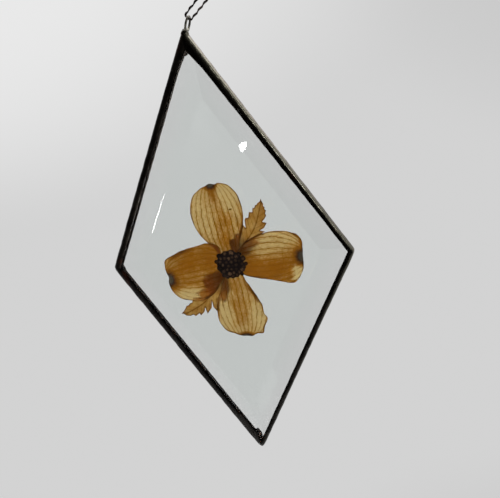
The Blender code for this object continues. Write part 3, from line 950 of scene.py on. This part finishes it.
def leafFinish(name, ribAt):
    # The midrib wanders from ribAt, and side ribs run from it into the teeth
    finish, u, v, flat = sheetFinish(name, 0.68)
    broad = finish.cloud(flat, 0.25, 3)
    fine = finish.cloud(flat, 2.4, 4, 0.6)
    middle = ribAt[0] + ribAt[1] * finish.line(u, ribAt[2], ribAt[3])
    side = finish.sum("ABSOLUTE", v - middle)
    midrib = 1.0 - finish.window(side, 0.05, 0.4)
    ribs = finish.stripes((u - side * 1.25) / 2.6, 0.12)
    edge = 1.0 - finish.window(finish.attribute("margin"), 0.05, 0.65)
    # painted shade: near its base, where it lies under the bracts, the leaf is darker and lets less light
    # through
    shadeUnderBracts = 1.0 - finish.window(u, 9.0, 15.0)
    deep = 0.42 + (broad - 0.5) * 1.6 + ribs * 0.3 + edge * 0.6 + midrib * 0.4
    stop = shadeUnderBracts * 0.42 + edge * 0.3 + midrib * 0.3 + ribs * 0.17 + finish.window(fine, 0.5, 0.8) * 0.2
    depth = finish.window(deep, 0.0, 1.0)
    colour = finish.blend(depth, srgb(190, 150, 100), srgb(132, 84, 40))
    colour = finish.blend(finish.window(stop, 0.1, 0.6), colour, srgb(84, 46, 24))
    finish.feed(Base_Color=colour)
    finish.bump(fine + midrib, 0.25, 0.00006)
    finish.letThrough(finish.sum("MAXIMUM", leaves["share"] - stop, 0.05), depth,
                      leaves["paleThrough"], leaves["deepThrough"])
    return finish.material


# Flower head

head = {
    "core": 3.2 * mm, "coreBack": 0.45 * mm, "disc": 5.8 * mm, "budSize": 1.24, "relief": 0.15 * mm,
    "discSteps": (0.02 * mm, 0.04 * mm),  # the disc's slope and its thickness
    "discRings": (1.2 * mm, 1.4 * mm),  # rings that divide its face
    # each bud's place from the middle, its radius in millimetres and how pale its crown is
    "buds": (
        (1.1, 4.9, 1.22, 1.3), (-1.7, 4.7, 0.9, 0.9), (-4.3, 3.9, 0.85, 0.2), (-5.8, 1.4, 0.8, 0.4),
        (-4.3, 1.2, 0.9, 0.6), (-3.9, 2.7, 0.85, 0.8), (-2.1, 2.7, 0.9, 0.5), (-0.4, 2.5, 0.95, 0.9),
        (1.2, 3, 0.8, 0.5), (3, 3.1, 0.95, 0.8), (4.4, 4.1, 0.8, 0.3), (5.7, 2.2, 0.95, 0.6),
        (2.4, 1.5, 0.85, 0.5), (3.9, 1.3, 0.9, 0.3), (6.5, -0.1, 0.75, 0.5), (-4.9, -1.4, 1.05, 0.2),
        (-3.3, -0.2, 0.9, 0.7), (-1.6, 0.9, 0.85, 0.4), (0.5, 1, 0.85, 0.6), (-0.9, -0.7, 0.9, 0.5),
        (0.8, -0.6, 0.8, 0.2), (2.4, -0.4, 0.9, 0.5), (4.9, 0.1, 0.8, 0.4), (5.4, -1.3, 0.85, 0.3),
        (4.5, -2.5, 1, 0.9), (-3.4, -2.9, 0.95, 0.6), (-1.9, -2.1, 0.85, 0.6), (0.1, -2.2, 0.9, 0.5),
        (2.1, -2.2, 0.9, 0.3), (-3.5, -4.6, 0.8, 0.4), (-2.2, -5.2, 0.8, 0.3), (-1, -4, 1, 1.1),
        (0.8, -3.7, 0.85, 0.8), (2, -4.7, 0.85, 0.6), (3.2, -3.5, 0.85, 0.7), (4.1, -4.3, 0.7, 0.2),
        (0.1, -5.2, 0.8, 0.5)),
}


def headFinish():
    finish = Finish("dried buds", Roughness=0.75, Specular_IOR_Level=0.25)
    place = finish.place()
    fine = finish.cloud(place, 1500, 4, 0.6)
    crown = finish.window(finish.attribute("crown"), 0.0, 1.3)
    colour = finish.blend(crown, srgb(34, 16, 13), srgb(148, 110, 80))
    colour = finish.blend(finish.window(fine, 0.40, 0.62) * 0.65, colour, srgb(42, 22, 16))
    finish.feed(Base_Color=colour)
    finish.bump(fine, 0.5, 0.0001)
    return finish.material


def makeHead(material):
    # The core that runs back between the bracts
    front = flower["headDepth"]
    depth = head["coreBack"] - front
    bpy.ops.mesh.primitive_cylinder_add(vertices=40, radius=head["core"], depth=depth,
                                        location=(0, (front + head["coreBack"]) / 2, 0),
                                        rotation=(math.radians(90), 0, 0))
    core = takeNew("bud_head")
    openMesh()
    pick("FACE", lambda face: face.normal.y < -0.9)
    slope, thick = head["discSteps"]
    extrude(-slope)
    grow = head["disc"] / head["core"]
    bpy.ops.transform.resize(value=(grow, 1, grow), center_override=(0, front, 0))
    extrude(-thick)
    for width in head["discRings"]:
        bpy.ops.mesh.inset(thickness=width)
    closeMesh()
    whole = joinInto(core, [makeBud(i, *bud, front) for i, bud in enumerate(head["buds"])])
    whole.data.transform(Matrix.Translation(flower["centre"]))
    settle(whole, material, "panel", "buds", 60, "flower_head")


def makeBud(i, x, z, radius, pale, front):
    size = radius * head["budSize"] * mm * (1 + 0.1 * noise.noise(Vector((i * 2.3, 5.1, 2))))
    lift = 0.05 * mm * noise.noise(Vector((i * 1.9, 0.4, 7)))
    bpy.ops.mesh.primitive_uv_sphere_add(segments=18, ring_count=10, radius=1,
                                         location=(x * mm, front - 0.03 * mm + lift, z * mm),
                                         rotation=(math.radians(90), i * 1.3, 0))
    bud = takeNew("bud", (size, size * 0.9, head["relief"]))
    openMesh()
    # a small pit in the crown, where the petals of the tiny flower close
    pick("FACE", lambda face: face.normal.y < -0.93)
    bpy.ops.mesh.inset(thickness=size * 0.12)
    bpy.ops.transform.translate(value=(0, head["relief"] * 0.35, 0))
    closeMesh()
    lumps = Vector((i * 3.7, 0, 1))
    movePoints(bud, lambda co: co + noise.noise_vector(co * 1600 + lumps) * 0.1 * mm)
    gaps = [math.hypot(v.co.x - x * mm, v.co.z - z * mm) for v in bud.data.vertices]
    giveValues(bud, "crown", [pale * (1 - ease(gap, 0.25 * size, size)) for gap in gaps])
    return bud


# Room: floor, light and camera

room = {
    "floorAt": -1.7, "floorFront": -2.0, "wallAt": 1.2, "wide": 8.0, "rise": 4.5, "bend": 0.4,
    "open": 0.62,  # light of the room as seen, and as it falls on things
    "mirrored": (0.012, 0.60),  # as the glass and metal mirror it, before and behind the panel
    "backdrop": 0.65,
    # brighter and darker patches of painted light in the backdrop's glow, as (place, reach, change)
    "patches": (((-1.15, 0.35), (1.35, 0.8), 0.17), ((0.55, 0.1), (0.8, 0.5), -0.07),
                ((0.4, -1.6), (0.9, 0.6), -0.06)),
    "skyGlow": 4.2,  # how much brighter the backdrop is high up, above the camera's view
    "skyRise": (0.3, 1.2),  # heights between which it brightens
    "skySides": (0.9, 2.1),  # and how far out it fades again
    "endFade": (2.4, 3.9),  # where the backdrop and floor fade out, to the sides
    "frontFade": (-1.9, -0.5),  # and to the front
    # lamps that show only in what mirrors them: the way to each from the panel, size, brightness
    "lampDistance": 1.2,
    "lamps": {
        "right window": ((0.82, -0.31, 0.49), (0.14, 0.14), 38.0),
        "left window": ((-0.66, -0.74, -0.097), (0.12, 0.12), 42.0),
        "small window": ((0.158, -0.971, 0.180), (0.019, 0.025), 16.0),
    },
    "cameraPlace": Vector((93.01, -234.04, 80.04)) * mm,
    "cameraTurn": (72.666, 9.682, 16.434),
    "focalPixels": 647.8, "frameWidth": 500, "sensor": 36,
}


def backdropFinish():
    # Pale floor that runs up into a backdrop that glows by its own emission, with brighter and darker
    # patches of painted light and a strong glow high up that lights the panel from behind; it fades out
    # at its ends
    finish = Finish("studio backdrop", Roughness=1.0, Specular_IOR_Level=0.0, Emission_Strength=1.0)
    x, y, z = finish.axes(finish.place())
    lit = finish.window(z, room["floorAt"] + 0.02, room["floorAt"] + room["bend"])
    glow = room["backdrop"]
    # painted light: patches where the backdrop's glow is brighter or darker
    for place, reach, change in room["patches"]:
        glow = glow + change * finish.spot(x, z, place, reach)
    aside = finish.sum("ABSOLUTE", x)
    over = finish.window(z, *room["skyRise"]) * (1.0 - finish.window(aside, *room["skySides"]))
    shown = (1.0 - finish.window(aside, *room["endFade"])) * finish.window(y, *room["frontFade"])
    glow = glow + room["skyGlow"] * over
    glow = glow * (0.997 + 0.006 * finish.cloud(finish.place(), 40, 2))
    finish.feed(Emission_Color=finish.blend(lit, (0, 0, 0), finish.flatGrey(glow)),
                Base_Color=finish.blend(lit, srgb(236, 236, 236), (0, 0, 0)),
                Alpha=shown)
    return finish.material


def makeRoom():
    # A floor that curves up into a wall, behind and below the hanging panel
    turnAt = room["wallAt"] - room["bend"]
    middle = (room["floorFront"] + turnAt) / 2
    bpy.ops.mesh.primitive_plane_add(size=1, location=(0, middle, room["floorAt"]))
    sweep = takeNew("studio_floor", (room["wide"], turnAt - room["floorFront"], 1))
    openMesh()
    pick("EDGE", lambda edge: all(point.co.y > turnAt - 0.1 for point in edge.verts))
    bpy.ops.mesh.spin(steps=24, angle=-math.radians(90), axis=(1, 0, 0),
                      center=(0, turnAt, room["floorAt"] + room["bend"]))
    bpy.ops.mesh.extrude_edges_move(TRANSFORM_OT_translate={"value": (0, 0, room["rise"])})
    closeMesh()
    smooth(sweep, 30)
    sweep.data.materials.append(backdropFinish())
    print("made the floor and backdrop")


def softLight(name, direction, size, brightness):
    middle = hungAt @ Vector()
    way = Vector(direction).normalized()
    bpy.ops.object.light_add(type="AREA", location=middle + way * room["lampDistance"])
    lamp = bpy.context.object
    lamp.name = name
    lamp.data.shape = "ELLIPSE"
    lamp.data.size, lamp.data.size_y = size
    lamp.data.energy = brightness * math.pi * math.pi * size[0] * size[1] / 4
    lamp.rotation_euler = way.to_track_quat("Z", "Y").to_euler()
    lamp.visible_camera = False
    lamp.visible_transmission = False


def makeLight():
    # The room is pale as seen. What glass and metal mirror is darker in front of the panel, as
    # when black card keeps reflections out of a glass photograph.
    world = bpy.data.worlds.new("soft room")
    bpy.context.scene.world = world
    world.use_nodes = True
    sky = Nodes(world.node_tree)
    back = sky.axes(sky.node("TexCoord", None, None, "Generated"))[1]
    depth = sky.node("LightPath", None, None, "Glossy Depth")
    dark, pale = room["mirrored"]
    mirrored = dark + (pale - dark) * sky.window(back, -0.45, 0.3)
    seen = room["open"] + sky.window(depth, 0.4, 0.6) * (mirrored - room["open"])
    background = world.node_tree.nodes["Background"]
    background.inputs[0].default_value = (1, 1, 1, 1)
    world.node_tree.links.new(seen.socket, background.inputs[1])
    for name, lamp in room["lamps"].items():
        softLight(name, *lamp)


def makeCamera():
    bpy.ops.object.camera_add()
    camera = bpy.context.object
    camera.name = "camera"
    turn = Euler([math.radians(angle) for angle in room["cameraTurn"]], "XYZ")
    onPanel = Matrix.LocRotScale(room["cameraPlace"], turn, None)
    camera.matrix_world = hungAt @ onPanel
    camera.data.sensor_width = room["sensor"]
    camera.data.lens = room["focalPixels"] / room["frameWidth"] * room["sensor"]
    camera.data.clip_start = 0.01
    bpy.context.scene.camera = camera


def build():
    makeCamera()
    makeRoom()
    makeLight()
    clear = glassFinish()
    makePlate("front_glass", -1, "glass_front", clear)
    makePlate("back_glass", 1, "glass_back", clear)
    patina, foil = rimFinish(), foilFinish()
    finishRim(makeRim(), makeApex(), patina, foil)
    makeSolderedRing(wireFinish("tinned wire"))
    dark = wireFinish("dark chain wire")
    pivot = hanging["pivot"] + chainAlong * wires["linkRaise"]
    makeLink("lower_link", "chain_link_lower", pivot, chainAcross, dark, 0.4)
    upper = pivot + chainAlong * (wires["linkPitch"] + wires["linkBend"])
    makeLink("upper_link", "chain_link_upper", upper, Vector((0, 1, 0)), dark, 1.1)
    makeHangRing(dark)
    for name in bractTones:
        makeBract(name)
    for name in ("leaf_upper", "leaf_lower"):
        makeLeaf(name)
    makeHead(headFinish())


build()
